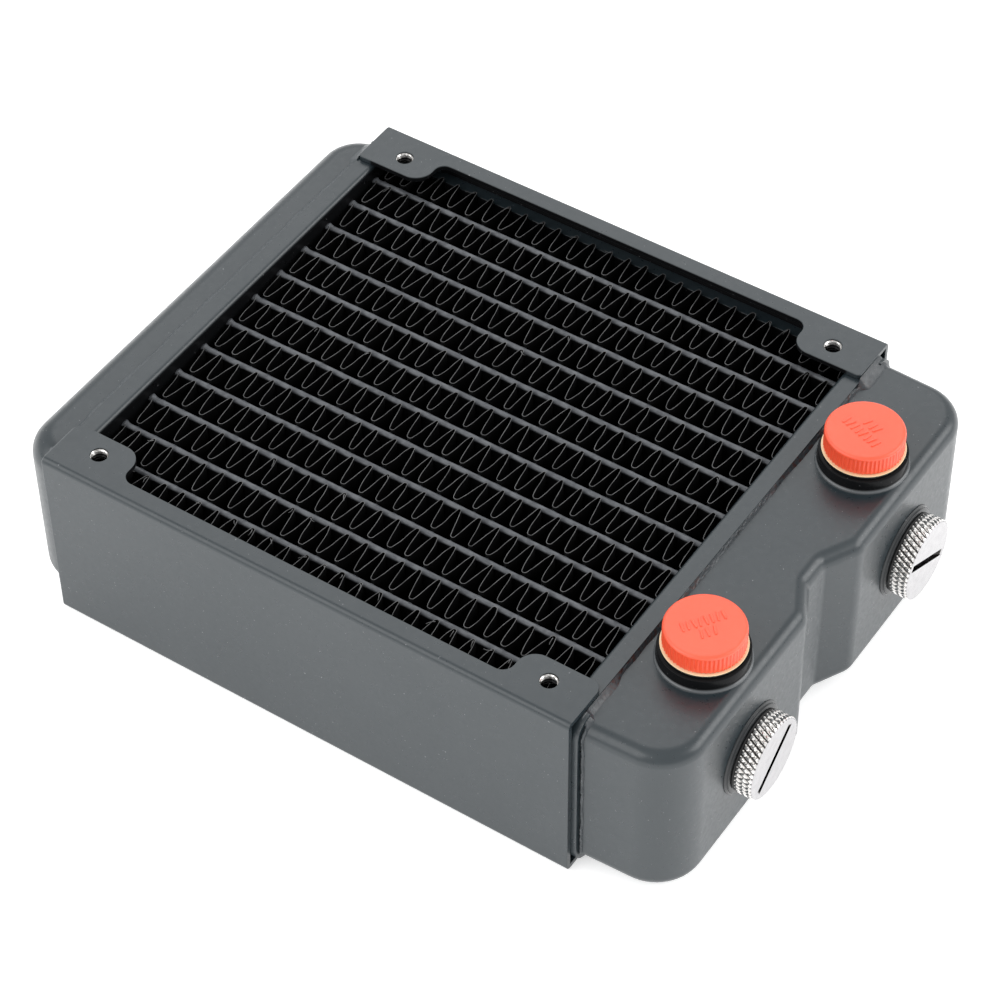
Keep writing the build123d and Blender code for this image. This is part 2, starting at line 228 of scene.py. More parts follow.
COAT_GLOSS = 0.68
# Painted shade: near-black tone and little gloss for faces that lie in shade.
PAINTED_SHADE_GLOSS = 0.10
PAINTED_SHADE_TONE = (0.0055, 0.0058, 0.0064)
# Painted highlight: lighter tone for the brackets' end edges.
END_EDGE_HIGHLIGHT_TONE = (0.085, 0.094, 0.100)
DUST_TONE = (0.42, 0.43, 0.45)
FLUX_TONE = (0.050, 0.019, 0.015)


class Recipe:
    """A material on a Principled shader, with short calls for the nodes that feed it."""

    def __init__(self, name, metallic=0.0, roughness=0.5, color=(0.5, 0.5, 0.5)):
        self.material = bpy.data.materials.new(name)
        self.material.use_nodes = True
        self.tree = self.material.node_tree
        self.shader = self.tree.nodes["Principled BSDF"]
        self.shader.inputs["Metallic"].default_value = metallic
        self.shader.inputs["Roughness"].default_value = roughness
        self.shader.inputs["Base Color"].default_value = (*color, 1.0)
        self.place = self.tree.nodes.new("ShaderNodeTexCoord").outputs["Object"]

    def link(self, output, target):
        """Joins an output to an input."""
        self.tree.links.new(output, target)

    def noise(self, scale, detail=2.0, place=None):
        """Noise from 0 to 1 over the object's own coordinates."""
        node = self.tree.nodes.new("ShaderNodeTexNoise")
        node.inputs["Scale"].default_value = scale
        node.inputs["Detail"].default_value = detail
        self.link(place or self.place, node.inputs["Vector"])
        return node.outputs["Fac"]

    def stretch(self, factors):
        """The object's coordinates scaled along each axis."""
        node = self.tree.nodes.new("ShaderNodeMapping")
        node.inputs["Scale"].default_value = factors
        self.link(self.place, node.inputs["Vector"])
        return node.outputs["Vector"]

    def spread(self, value, low_in, high_in, low_out, high_out):
        """Maps one range onto another, clamped at both ends."""
        node = self.tree.nodes.new("ShaderNodeMapRange")
        for name, number in (("From Min", low_in), ("From Max", high_in),
                             ("To Min", low_out), ("To Max", high_out)):
            node.inputs[name].default_value = number
        self.link(value, node.inputs["Value"])
        return node.outputs["Result"]

    def blend(self, share, one, other):
        """Colour between two others, each a node's output or a plain colour."""
        node = self.tree.nodes.new("ShaderNodeMix")
        node.data_type = "RGBA"
        self.link(share, node.inputs["Factor"])
        for source, socket in ((one, node.inputs[6]), (other, node.inputs[7])):
            if isinstance(source, tuple):
                socket.default_value = (*source, 1.0)
            else:
                self.link(source, socket)
        return node.outputs[2]

    def calc(self, operation, one, other=None):
        """One arithmetic step on outputs or plain numbers."""
        node = self.tree.nodes.new("ShaderNodeMath")
        node.operation = operation
        for socket, source in zip(node.inputs, (one, other)):
            if source is None:
                continue
            if isinstance(source, (int, float)):
                socket.default_value = source
            else:
                self.link(source, socket)
        return node.outputs[0]

    def parts(self, vector):
        """X, Y and Z of a vector."""
        node = self.tree.nodes.new("ShaderNodeSeparateXYZ")
        self.link(vector, node.inputs[0])
        return node.outputs

    def bump(self, height, strength, distance):
        """Fine relief on the shaded surface."""
        node = self.tree.nodes.new("ShaderNodeBump")
        node.inputs["Strength"].default_value = strength
        node.inputs["Distance"].default_value = distance
        self.link(height, node.inputs["Height"])
        self.link(node.outputs["Normal"], self.shader.inputs["Normal"])

    def color(self, output):
        self.link(output, self.shader.inputs["Base Color"])

    def roughness(self, output):
        self.link(output, self.shader.inputs["Roughness"])


def upright_share(recipe, low, high):
    """0 on steep faces and 1 on faces that look up or down."""
    geometry = recipe.tree.nodes.new("ShaderNodeNewGeometry")
    upright = recipe.calc("ABSOLUTE", recipe.parts(geometry.outputs["Normal"])[2])
    return recipe.spread(upright, low, high, 0.0, 1.0)


def steep_share(recipe):
    """1 on steep faces and 0 on faces that look up or down."""
    return recipe.spread(upright_share(recipe, 0.25, 0.80), 0.0, 1.0, 1.0, 0.0)


def opening_shade_share(recipe):
    """1 on the steep faces round the core's opening, which are painted near black as the shade that
    falls there.
    """
    x_place, y_place, _ = recipe.parts(recipe.place)
    along = recipe.spread(recipe.calc("ABSOLUTE", x_place), 58.5 * MM, 58.0 * MM, 0.0, 1.0)
    across = recipe.spread(recipe.calc("ABSOLUTE", y_place), 59.0 * MM, 58.6 * MM, 0.0, 1.0)
    return recipe.calc("MULTIPLY", recipe.calc("MULTIPLY", along, across), steep_share(recipe))


def end_edge_highlight_share(recipe):
    """1 on the brackets' end edges over the return tank, which get a painted highlight."""
    x_place, y_place, z_place = recipe.parts(recipe.place)
    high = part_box("side_bracket_back")[1]
    at_end = recipe.spread(x_place, 0.30 * MM - BRACKET_END, 0.15 * MM - BRACKET_END, 0.0, 1.0)
    above = recipe.spread(z_place, high.z - 0.8 * MM, high.z - 0.6 * MM, 0.0, 1.0)
    beside = recipe.spread(recipe.calc("ABSOLUTE", y_place), high.y - 0.9 * MM, high.y - 0.7 * MM,
                           0.0, 1.0)
    return recipe.calc("MULTIPLY", at_end, recipe.calc("MAXIMUM", above, beside))


def bush_shade_share(recipe):
    """0 on a top bush's foot, which keeps the bushes' painted highlight tone, 1 above it where the
    collar takes the painted shade tone, and 0.7 on an end bush.
    """
    z_place = recipe.parts(recipe.place)[2]
    foot_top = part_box("port_tank")[1].z + BUSH_FOOT_HEIGHT["top"]
    above = recipe.spread(z_place, foot_top - 0.10 * MM, foot_top + 0.15 * MM, 0.0, 1.0)
    on_end = recipe.spread(recipe.parts(recipe.place)[0], 81.5 * MM, 82.0 * MM, 0.0, 0.7)
    return recipe.calc("MAXIMUM", above, on_end)


def coat_material(name, dark, light, rough_low, rough_high, peel, painted_shade_share):
    """Powder coat: cloudy tone, orange-peel surface, a few specks of dust, painted shade where the
    shade share says so, and a painted highlight on the brackets' end edges.
    """
    recipe = Recipe(name)
    # Painted shade: where the share is 1 the coat turns near black and loses its gloss.
    painted_shade = painted_shade_share(recipe)
    gloss = recipe.spread(painted_shade, 0.0, 1.0, COAT_GLOSS, PAINTED_SHADE_GLOSS)
    recipe.link(gloss, recipe.shader.inputs["Specular IOR Level"])
    clouds = recipe.spread(recipe.noise(38.0, 3.0), 0.35, 0.65, 0.0, 1.0)
    tone = recipe.blend(painted_shade, recipe.blend(clouds, dark, light), PAINTED_SHADE_TONE)
    # Painted highlight on the brackets' end edges over the return tank.
    tone = recipe.blend(end_edge_highlight_share(recipe), tone, END_EDGE_HIGHLIGHT_TONE)
    dust = recipe.spread(recipe.noise(2300.0, 1.0), 0.775, 0.80, 0.0, 0.55)
    recipe.color(recipe.blend(dust, tone, DUST_TONE))
    recipe.roughness(recipe.spread(recipe.noise(900.0), 0.3, 0.7, rough_low, rough_high))
    recipe.bump(recipe.noise(3200.0, 2.0), peel, 0.04 * MM)
    return recipe.material


def core_light_and_shade_material(name, deep, face_dark, face_light, low, high):
    """Coat inside the core: painted shade, black, down the walls and a lighter painted light tone on
    the faces outside, which look up or down.
    """
    recipe = Recipe(name)
    recipe.shader.inputs["Specular IOR Level"].default_value = 0.30
    clouds = recipe.spread(recipe.noise(600.0, 3.0), 0.35, 0.65, 0.0, 1.0)
    tone = recipe.blend(clouds, face_dark, face_light)
    # Painted light and shade: steep walls take the black tone, faces looking up or down the lit one.
    recipe.color(recipe.blend(upright_share(recipe, low, high), deep, tone))
    recipe.roughness(recipe.spread(recipe.noise(1500.0), 0.3, 0.7, 0.36, 0.52))
    recipe.bump(recipe.noise(3500.0), 0.25, 0.03 * MM)
    return recipe.material


def solder_material(name, dark, light, flux, rough):
    """Coated solder: painted shade in dark pits, painted highlights in lighter patches and over the
    corner stretches, and burnt flux in patches.
    """
    recipe = Recipe(name)
    y_place = recipe.calc("ABSOLUTE", recipe.parts(recipe.place)[1])
    corner_highlight = recipe.spread(y_place, 43.0 * MM, 47.0 * MM, 0.0, 1.0)
    highlight_share = recipe.calc("MAXIMUM", corner_highlight,
                       recipe.spread(recipe.noise(1500.0, 4.0), 0.33, 0.42, 0.0, 1.0))
    # Painted light: the dark tone paints shade in pits, the light tone highlights, used all over near
    # the corners.
    tone = recipe.blend(highlight_share, dark, light)
    patches = recipe.spread(recipe.noise(900.0, 3.0), 0.48, 0.60, 0.0, flux)
    for reach in ((10.0 * MM, 17.0 * MM), (50.0 * MM, 44.0 * MM)):
        patches = recipe.calc("MULTIPLY", patches, recipe.spread(y_place, *reach, 0.0, 1.0))
    recipe.color(recipe.blend(patches, tone, FLUX_TONE))
    recipe.roughness(recipe.spread(recipe.noise(1100.0), 0.3, 0.7, rough, rough + 0.2))
    recipe.bump(recipe.noise(2100.0, 4.0), 0.45, 0.10 * MM)
    return recipe.material


def rubber_material():
    """Black rubber with a faint grey bloom."""
    recipe = Recipe("black_rubber")
    bloom = recipe.spread(recipe.noise(500.0, 3.0), 0.35, 0.7, 0.0, 1.0)
    recipe.color(recipe.blend(bloom, (0.0040, 0.0040, 0.0045), (0.0085, 0.0085, 0.0090)))
    recipe.roughness(recipe.spread(recipe.noise(900.0), 0.3, 0.7, 0.45, 0.65))
    recipe.bump(recipe.noise(5000.0), 0.15, 0.02 * MM)
    return recipe.material


def plastic_material(name, deep, bright, rough_low, rough_high, grain, gloss):
    """Moulded plastic with a fine matte grain and faint flow marks."""
    recipe = Recipe(name)
    flow = recipe.spread(recipe.noise(90.0, 2.0), 0.25, 0.75, 0.0, 1.0)
    recipe.color(recipe.blend(flow, deep, bright))
    recipe.roughness(recipe.spread(recipe.noise(1200.0), 0.3, 0.7, rough_low, rough_high))
    recipe.bump(recipe.noise(6500.0, 3.0), grain, 0.03 * MM)
    recipe.shader.inputs["Specular IOR Level"].default_value = gloss
    recipe.shader.inputs["Subsurface Weight"].default_value = 0.06
    recipe.shader.inputs["Subsurface Scale"].default_value = 0.6 * MM
    return recipe.material


def radius_from(recipe, axis_point):
    """Distance from an axis that runs along X, from object coordinates."""
    _, y_place, z_place = recipe.parts(recipe.place)
    squares = []
    for place, centre in ((z_place, axis_point.z), (y_place, axis_point.y)):
        offset = recipe.calc("ABSOLUTE", recipe.calc("SUBTRACT", place, centre))
        squares.append(recipe.calc("POWER", offset, 2.0))
    return recipe.calc("SQRT", recipe.calc("ADD", *squares))


def nickel_material(name, axis_point, crest_radius):
    """Bright nickel plate: painted black shade deep in the knurl, the knurled side painted brighter
    than the face as lit and shaded tones of one plate, and fine turning marks on the face.
    """
    recipe = Recipe(name, metallic=1.0)
    radius = radius_from(recipe, axis_point)
    x_place = recipe.parts(recipe.place)[0]
    deep = recipe.spread(radius, crest_radius - 0.85 * KNURL_DEPTH,
                         crest_radius - 0.40 * KNURL_DEPTH, 1.0, 0.0)
    on_rim = recipe.spread(x_place, axis_point.x - 0.16 * MM, axis_point.x - 0.06 * MM, 1.0, 0.0)
    # Painted shade deep in the knurl's valleys.
    knurl_valley_shade = recipe.calc("MULTIPLY", deep, on_rim)
    face = recipe.blend(recipe.spread(recipe.noise(600.0, 3.0), 0.35, 0.65, 0.0, 1.0),
                        (0.49, 0.48, 0.49), (0.54, 0.53, 0.54))
    # Painted light: the knurled side gets a brighter tone than the face.
    tone = recipe.blend(on_rim, face, (0.92, 0.90, 0.88))
    recipe.color(recipe.blend(knurl_valley_shade, tone, (0.012, 0.010, 0.009)))
    recipe.roughness(recipe.spread(recipe.noise(900.0), 0.3, 0.7, 0.14, 0.24))
    turning = recipe.calc("SINE", recipe.calc("MULTIPLY", radius, math.tau / (0.16 * MM)))
    recipe.bump(recipe.calc("ADD", turning, recipe.noise(2500.0)), 0.05, 0.02 * MM)
    return recipe.material


def bare_metal_material(z_low, z_high):
    """Bare tapped metal, bright at the mouths on both faces and painted near black as shade further
    in.
    """
    recipe = Recipe("bare_thread", metallic=1.0)
    half = (z_high - z_low) / 2
    level = recipe.calc("SUBTRACT", recipe.parts(recipe.place)[2], z_low + half)
    mouth = recipe.spread(recipe.calc("ABSOLUTE", level), half - 1.25 * MM, half - 0.55 * MM, 0.0, 1.0)
    tone = recipe.blend(recipe.spread(recipe.noise(1800.0, 3.0), 0.4, 0.6, 0.0, 1.0),
                        (0.30, 0.29, 0.28), (0.80, 0.79, 0.77))
    # Painted shade: near black away from the mouths.
    recipe.color(recipe.blend(mouth, (0.012, 0.012, 0.012), tone))
    recipe.roughness(recipe.spread(recipe.noise(2500.0), 0.3, 0.7, 0.16, 0.32))
    recipe.bump(recipe.noise(4200.0), 0.2, 0.02 * MM)
    return recipe.material


def brass_material():
    """Rolled brass sheet, streaked along its length."""
    recipe = Recipe("rolled_brass", metallic=1.0)
    rolled = recipe.noise(120.0, 3.0, recipe.stretch((1.0, 1.0, 14.0)))
    recipe.color(recipe.blend(rolled, (0.52, 0.36, 0.14), (0.74, 0.56, 0.27)))
    recipe.roughness(recipe.spread(rolled, 0.3, 0.7, 0.28, 0.5))
    recipe.bump(rolled, 0.1, 0.02 * MM)
    return recipe.material


def floor_material():
    """Pale studio floor that fades into the background."""
    recipe = Recipe("pale_floor", roughness=0.9)
    faint = recipe.spread(recipe.noise(3.0, 2.0), 0.3, 0.7, 0.0, 1.0)
    recipe.color(recipe.blend(faint, (0.90, 0.90, 0.90), (0.92, 0.92, 0.92)))
    recipe.shader.inputs["Specular IOR Level"].default_value = 0.1
    recipe.shader.inputs["Emission Color"].default_value = (1.0, 1.0, 1.0, 1.0)
    recipe.shader.inputs["Emission Strength"].default_value = 0.50
    return recipe.material


BLACK_COAT = coat_material("black_powder_coat", (0.0165, 0.0255, 0.0310),
                           (0.0215, 0.0305, 0.0360), 0.27, 0.36, 0.10, opening_shade_share)
# Painted light on the bushes: a light tone as a highlight on the top bushes' feet, painted shade on
# the collars.
BUSH_HIGHLIGHT_AND_SHADE_COAT = coat_material("bush_coat_painted_highlight_and_shade", (0.0800, 0.0880, 0.0940),
                          (0.0950, 0.1030, 0.1090), 0.20, 0.28, 0.05, bush_shade_share)
TUBE_COAT = core_light_and_shade_material("tube_coat_painted_light_and_shade", (0.0020, 0.0020, 0.0023), (0.072, 0.077, 0.086),
                          (0.120, 0.127, 0.138), 0.18, 0.62)
FIN_COAT = core_light_and_shade_material("fin_coat_painted_light_and_shade", (0.0016, 0.0016, 0.0018), (0.070, 0.071, 0.073),
                         (0.150, 0.151, 0.153), 0.40, 0.90)
SOLDER_COAT = solder_material("coated_solder", (0.002, 0.002, 0.002), (0.038, 0.045, 0.051),
                              0.9, 0.24)
# Painted highlight: the return seam's solder is lighter than the coat to show a thin highlight line.
SMOOTH_SOLDER = solder_material("smooth_solder_painted_highlight", (0.034, 0.044, 0.050), (0.062, 0.072, 0.079),
                                0.0, 0.30)
RUBBER = rubber_material()
CREAM = plastic_material("cream_plastic", (0.78, 0.57, 0.33), (0.86, 0.68, 0.44), 0.35, 0.45,
                         0.1, 0.5)
ORANGE = plastic_material("orange_plastic", (0.90, 0.085, 0.028), (0.95, 0.100, 0.036),
                          0.36, 0.46, 0.22, 0.80)
BARE_METAL = bare_metal_material(*(corner.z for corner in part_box("side_bracket_front")))
BRASS = brass_material()


# ---- Folded and pressed sheet parts, refined from their CAD shapes ----

def welded_copy(node):
    """The CAD node's shape with flat areas merged, ready for rounding."""
    shape = bmesh.new()
    shape.from_mesh(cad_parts[node].data)
    bmesh.ops.remove_doubles(shape, verts=shape.verts, dist=WELD)
    bmesh.ops.dissolve_limit(
        shape, angle_limit=math.radians(0.4), verts=shape.verts, edges=shape.edges)
    return shape


def round_edges(shape, edges, size, segments):
    """Rounds some edges of a shape."""
    bmesh.ops.bevel(shape, geom=edges, offset=size, offset_type="OFFSET", segments=segments,
                    profile=0.5, affect="EDGES", clamp_overlap=True)


def sharp_edges(shape, angle_deg=35.0):
    """Edges where the surface turns by more than an angle."""
    limit = math.radians(angle_deg)
    return [edge for edge in shape.edges if len(edge.link_faces) == 2
            and edge.calc_face_angle(0.0) > limit]


def fan_hole_axes(side):
    """X and Y of the fan holes in one bracket."""
    half = FAN_HOLE_SPACING / 2
    y = -half if side == "front" else half
    return [(-half, y), (half, y)]


def open_fan_holes(shape, side):
    """Widens the fan holes to the thread's root. Returns their vertices."""
    found = []
    for x, y in fan_hole_axes(side):
        for vert in shape.verts:
            offset = Vector((vert.co.x - x, vert.co.y - y))
            if offset.length < CAD_HOLE_RADIUS + 0.1 * MM:
                offset *= THREAD_ROOT_RADIUS / offset.length
                vert.co.x, vert.co.y = x + offset.x, y + offset.y
                found.append(vert)
    return found


def bake_modifiers(piece):
    """Applies a piece's modifiers to its mesh."""
    bpy.context.view_layer.update()
    depsgraph = bpy.context.evaluated_depsgraph_get()
    mesh = bpy.data.meshes.new_from_object(piece.evaluated_get(depsgraph))
    piece.modifiers.clear()
    piece.data = mesh


def shade_again(piece):
    """Smooth shading with sharp edges where the surface turns hard."""
    piece.data.shade_smooth()
    piece.data.set_sharp_from_angle(angle=math.radians(40.0))


def level_normals(piece):
    """Keeps large flat faces evenly shaded right up to their rounded edges."""
    level = piece.modifiers.new("level", "WEIGHTED_NORMAL")
    level.weight = 100
    level.keep_sharp = True
    bake_modifiers(piece)
    return piece


def side_bracket(side):
    """Folded bracket with rounded sheet edges and a worn lead-in at each fan hole."""
    node = f"side_bracket_{side}"
    low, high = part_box(node)
    shape = welded_copy(node)
    rims = set(open_fan_holes(shape, side))
    mouth = [edge for edge in sharp_edges(shape)
             if edge.verts[0] in rims and edge.verts[1] in rims
             and min(abs(edge.verts[0].co.z - low.z), abs(edge.verts[0].co.z - high.z)) < 0.1 * MM]
    round_edges(shape, mouth, HOLE_LEAD_IN, 4)
    round_edges(shape, sharp_edges(shape, 55.0), EDGE_ROUND, 3)
    return level_normals(
        piece_from(f"bracket_sheet_{side}", shape, BLACK_COAT, ROOT, [node]))


def fan_thread(place):
    """Threaded inside of one fan hole, hanging below its mouth."""
    def profile(angle):
        lead = HOLE_LEAD_IN * 0.9
        levels = ramp_levels(-lead, -lead - FAN_THREAD_LENGTH, 40)
        inner = []
        for level in levels:
            fade = min(1.0, (-level - lead) / (0.3 * MM))
            share = thread_share(level, angle, FAN_THREAD_PITCH) * fade
            inner.append((THREAD_ROOT_RADIUS - 0.03 * MM - FAN_THREAD_DEPTH * share, level))
        outer = THREAD_ROOT_RADIUS + 0.02 * MM
        return inner + [(outer, levels[-1]), (outer, levels[0])]
    return turned(profile, place, 64)


def fan_threads(side):
    """The bare tapped threads of one bracket's four fan holes."""
    low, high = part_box(f"side_bracket_{side}")
    joined = bmesh.new()
    for x, y in fan_hole_axes(side):
        for z, turn in ((high.z, 0.0), (low.z, math.pi)):
            place = Matrix.Translation((x, y, z)) @ Matrix.Rotation(turn, 4, "X")
            part = fan_thread(place)
            mesh = bpy.data.meshes.new("part")
            part.to_mesh(mesh)
            part.free()
            joined.from_mesh(mesh)
            bpy.data.meshes.remove(mesh)
    return piece_from(f"fan_threads_{side}", joined, BARE_METAL, ROOT, [])


def pressed_plate(name, node, size):
    """A sheet part with its sharp edges rounded."""
    shape = welded_copy(node)
    round_edges(shape, sharp_edges(shape, 50.0), size, 2)
    return level_normals(piece_from(name, shape, BLACK_COAT, ROOT, [node]))


# ---- Core: tubes and fins ----

def crest_places(chooser):
    """Crest centres of one fin strip along X, each a little out of step."""
    run = FIN_PITCH / 2
    shift = chooser.uniform(-0.5, 0.5) * run
    places = []
    for crest in range(FIN_LEGS + 1):
        x = (crest - FIN_LEGS / 2) * run + chooser.gauss(0, 1) * FIN_JITTER
        end_ease = min(1.0, min(crest, FIN_LEGS - crest) / 6.0)
        places.append(x + shift * end_ease)
    return places


def leg_between(one, other, radius_one, radius_other, up):
    """Straight sheet between two crests: its unit direction."""
    away = other - one
    lean = math.asin(min(0.9, (radius_one + radius_other) / away.length))
    turn = Matrix.Rotation(up * lean, 2)
    return turn @ away.normalized()


def fin_line(xs, y_mid, half_rise, chooser):
    """Centre line of the corrugated sheet from above, as points with their sideways direction."""
    radii = [(FIN_NEAR_RADIUS if crest % 2 else FIN_FAR_RADIUS) * chooser.uniform(0.8, 1.15)
             for crest in range(len(xs))]
    centres, ups = [], []
    for crest, x in enumerate(xs):
        up = 1 if crest % 2 == 0 else -1
        ups.append(up)
        centres.append(Vector((x, y_mid + up * (half_rise - radii[crest]))))
    ways = [leg_between(a, b, r, s, up)
            for a, b, r, s, up in zip(centres, centres[1:], radii, radii[1:], ups)]
    line = []
    for crest, centre in enumerate(centres):
        up = ups[crest]
        way_in = ways[crest - 1] if crest else Vector((1, 0))
        way_out = ways[crest] if crest < len(ways) else Vector((1, 0))
        start = math.atan2(way_in.y, way_in.x)
        stop = math.atan2(way_out.y, way_out.x)
        for angle in ramp_levels(start, stop, 6):
            sideways = Vector((-math.sin(angle), math.cos(angle)))
            line.append((centre + up * radii[crest] * sideways, sideways))
        if crest < len(ways):
            line.extend(bowed_leg(centre, centres[crest + 1], radii[crest], radii[crest + 1],
                                  up, way_out, chooser))
    return line


def bowed_leg(one, other, radius_one, radius_other, up, way, chooser):
    """Inner points of a leg, bowed a little as hand-handled foil is."""
    sideways = Vector((-way.y, way.x))
    start = one + up * radius_one * sideways
    stop = other - up * radius_other * sideways
    bow = chooser.gauss(0, 0.06) * MM
    swing = up * FIN_BOW * chooser.uniform(0.4, 1.5)
    points = []
    for share in (0.12, 0.25, 0.38, 0.5, 0.62, 0.75, 0.88):
        push = bow * math.sin(math.pi * share) + swing * math.sin(math.tau * share)
        place = start.lerp(stop, share) + sideways * push
        points.append((place, sideways))
    return points


def fin_levels(low, high):
    """Heights of the rows of points, closer together near both faces."""
    return [low, low + 0.7 * MM, low + 2.5 * MM, high - 2.5 * MM, high - 0.7 * MM, high]


def fin_strip(row, damage):
    """One corrugated strip with small irregularities, and bent foil where it was knocked."""
    node = f"fin_strip_{row:02d}"
    low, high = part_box(node)
    chooser = random.Random(100 + row)
    xs = crest_places(chooser)
    xs = [min(high.x - 0.3 * MM, max(low.x + 0.3 * MM, x)) for x in xs]
    line = fin_line(xs, (low.y + high.y) / 2, (high.y - low.y) / 2 - FIN_SHEET / 2, chooser)
    shape = bmesh.new()
    rings = []
    for level in fin_levels(low.z, high.z):
        edge = max(0.0, abs(level - (low.z + high.z) / 2) / ((high.z - low.z) / 2) - 0.85) / 0.15
        front, back = [], []
        for place, sideways in line:
            push = knock(place, row, edge, damage)
            drop = -0.12 * MM * edge * (0.5 + noise.noise(Vector((place.x, place.y, row)) * 420.0))
            z = level + (drop if level > low.z + 5 * MM else -drop)
            middle_point = place + sideways * push
            one = middle_point + sideways * FIN_SHEET / 2
            other = middle_point - sideways * FIN_SHEET / 2
            front.append((one.x, one.y, z))
            back.append((other.x, other.y, z))
        rings.append(front + back[::-1])
    rows = skin_rings(shape, rings)
    close_strip(shape, rows[0], len(line))
    close_strip(shape, rows[-1], len(line))
    for crest in damaged_crests(row, chooser):
        for face in (low.z, high.z):
            burr(shape, Vector((xs[crest], high.y - 0.5 * MM, face)), face == high.z, chooser)
    piece_from(f"fins_{row:02d}", shape, FIN_COAT, ROOT, [node], sharp_deg=50.0)
    return xs


def damaged_crests(row, chooser):
    """Far crests of a strip with torn foil: all along the front row, a few elsewhere."""
    share = {1: 0.80, 2: 0.20, 12: 0.20, 13: 0.40}.get(row, 0.03)
    return [crest for crest in range(2, FIN_LEGS - 1, 2) if chooser.random() < share]


def burr(shape, start, above, chooser):
    """Curled sliver of foil that sticks out sideways from a crest at one face of the core."""
    length = chooser.uniform(0.9, 2.0) * MM
    heading = math.radians(chooser.uniform(-150, -30))
    curl = chooser.uniform(-1.3, 1.3)
    sink = 0.25 * MM if above else -0.25 * MM
    rings = []
    place = start.copy()
    steps = 7
    for step in range(steps + 1):
        way = Vector((math.cos(heading), math.sin(heading), 0.0))
        side = Vector((-way.y, way.x, 0.0)) * BURR_SHEET / 2 * (1 - 0.6 * step / steps)
        drop = Vector((0.0, 0.0, -sink * (1.2 - 0.5 * step / steps)))
        rings.append([place + side, place - side, place - side + drop, place + side + drop])
        place = place + way * length / steps
        heading += curl / steps
    rows = skin_rings(shape, rings)
    shape.faces.new(rows[0])
    shape.faces.new(rows[-1])


def close_strip(shape, ring, count):
    """Quads across the thin end face of a strip."""
    for index in range(count - 1):
        a, b = ring[index], ring[index + 1]
        c, d = ring[2 * count - 2 - index], ring[2 * count - 1 - index]
        shape.faces.new((a, b, c, d))


def knock(place, row, edge, amount):
    """Sideways push on the foil near a face, strongest in the rows beside the brackets."""
    if edge <= 0:
        return 0.0
    slow = noise.noise(Vector((place.x * 260.0, row * 3.7, 0.3)))
    fast = noise.noise(Vector((place.x * 900.0, row * 1.9, 5.1)))
    return edge * amount * (0.7 * slow + 0.5 * fast) * MM


def tube_ring(x, y_mid, z_low, z_high, half_thick, bumps):
    """Outline of a flat tube at one place along X, in the plane across it."""
    points = []
    ends = ((0, z_high - half_thick), (180, z_low + half_thick))
    for start_deg, z_centre in ends:
        for angle in ramp_levels(start_deg, start_deg + 180, 8):
            across, upward = math.cos(math.radians(angle)), math.sin(math.radians(angle))
            y = y_mid + (half_thick + bumps(across)) * across
            points.append((x, y, z_centre + half_thick * upward))
    return points


def solder_bumps(nearest_front, nearest_back, flare):
    """How much the solder swells the tube's near and far walls at one place along X."""
    def swell(side):
        gap = nearest_back if side > 0 else nearest_front
        dot = SOLDER_DOT * math.exp(-(gap / (0.45 * MM)) ** 2)
        return abs(side) * dot + flare
    return swell


def tube(number, crests_front, crests_back):
    """Flat tube: slightly wavy, with solder at every fin crest and at both header plates."""
    node = f"tube_{number:02d}"
    low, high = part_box(node)
    y_mid = (low.y + high.y) / 2
    half_thick = (high.y - low.y) / 2
    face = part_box("port_header")[0].x
    outside, inside = [], []
    for x in ramp_levels(low.x, high.x, TUBE_STEPS):
        wander = TUBE_WANDER * noise.noise(Vector((x * 55.0, number * 5.3, 0.7)))
        thick = half_thick * (0.93 + 0.10 * noise.noise(Vector((x * 240.0, number * 2.1, 9.0))))
        gap_front = min(abs(x - crest) for crest in crests_front)
        gap_back = min(abs(x - crest) for crest in crests_back)
        flare = 0.55 * MM * math.exp(-max(0.0, face - abs(x)) / (0.32 * MM))
        if abs(x) > face:
            flare = 0.0
        swell = solder_bumps(gap_front, gap_back, flare)
        sag = 0.12 * MM * noise.noise(Vector((x * 130.0, number * 7.7, 4.0)))
        sag += 0.35 * MM * math.exp(-(((x + face) / MM - 0.5) / 0.45) ** 2)
        outside.append(tube_ring(x, y_mid + wander, low.z, high.z - 0.1 * MM + sag, thick, swell))
    bore_high, bore_low = high.z - TUBE_WALL, low.z + TUBE_WALL
    for x in ramp_levels(high.x, low.x, 12):
        inside.append(tube_ring(x, y_mid, bore_low, bore_high - 0.2 * MM,
                                half_thick - TUBE_WALL, lambda side: 0.0))
    shape = bmesh.new()
    skin_rings(shape, outside + inside, close_stack=True)
    return piece_from(f"flat_{node}", shape, TUBE_COAT, ROOT, [node])


def core():
    """All fin strips and the tubes between them."""
    crests = []
    for row in range(1, 14):
        amount = 0.75 if row == 1 else 0.35 if row in (2, 13) else 0.16
        crests.append(fin_strip(row, amount))
    for number in range(1, 13):
        front_row, back_row = crests[number - 1], crests[number]
        tube(number, front_row[0::2], back_row[1::2])


# ---- Tanks ----

def rounded_corner(before, corner, after, radius, count):
    """Arc that rounds one corner of an outline."""
    into = (Vector(corner) - Vector(before)).normalized()
    out = (Vector(after) - Vector(corner)).normalized()
    turn = into.angle_signed(out) * -1
    reach = radius * math.tan(abs(turn) / 2)
    start = Vector(corner) - into * reach
    side = 1 if turn > 0 else -1
    centre = start + side * radius * Vector((-into.y, into.x))
    points = []
    for angle in ramp_levels(0, turn, count):
        points.append(centre + Matrix.Rotation(angle, 2) @ (start - centre))
    return points


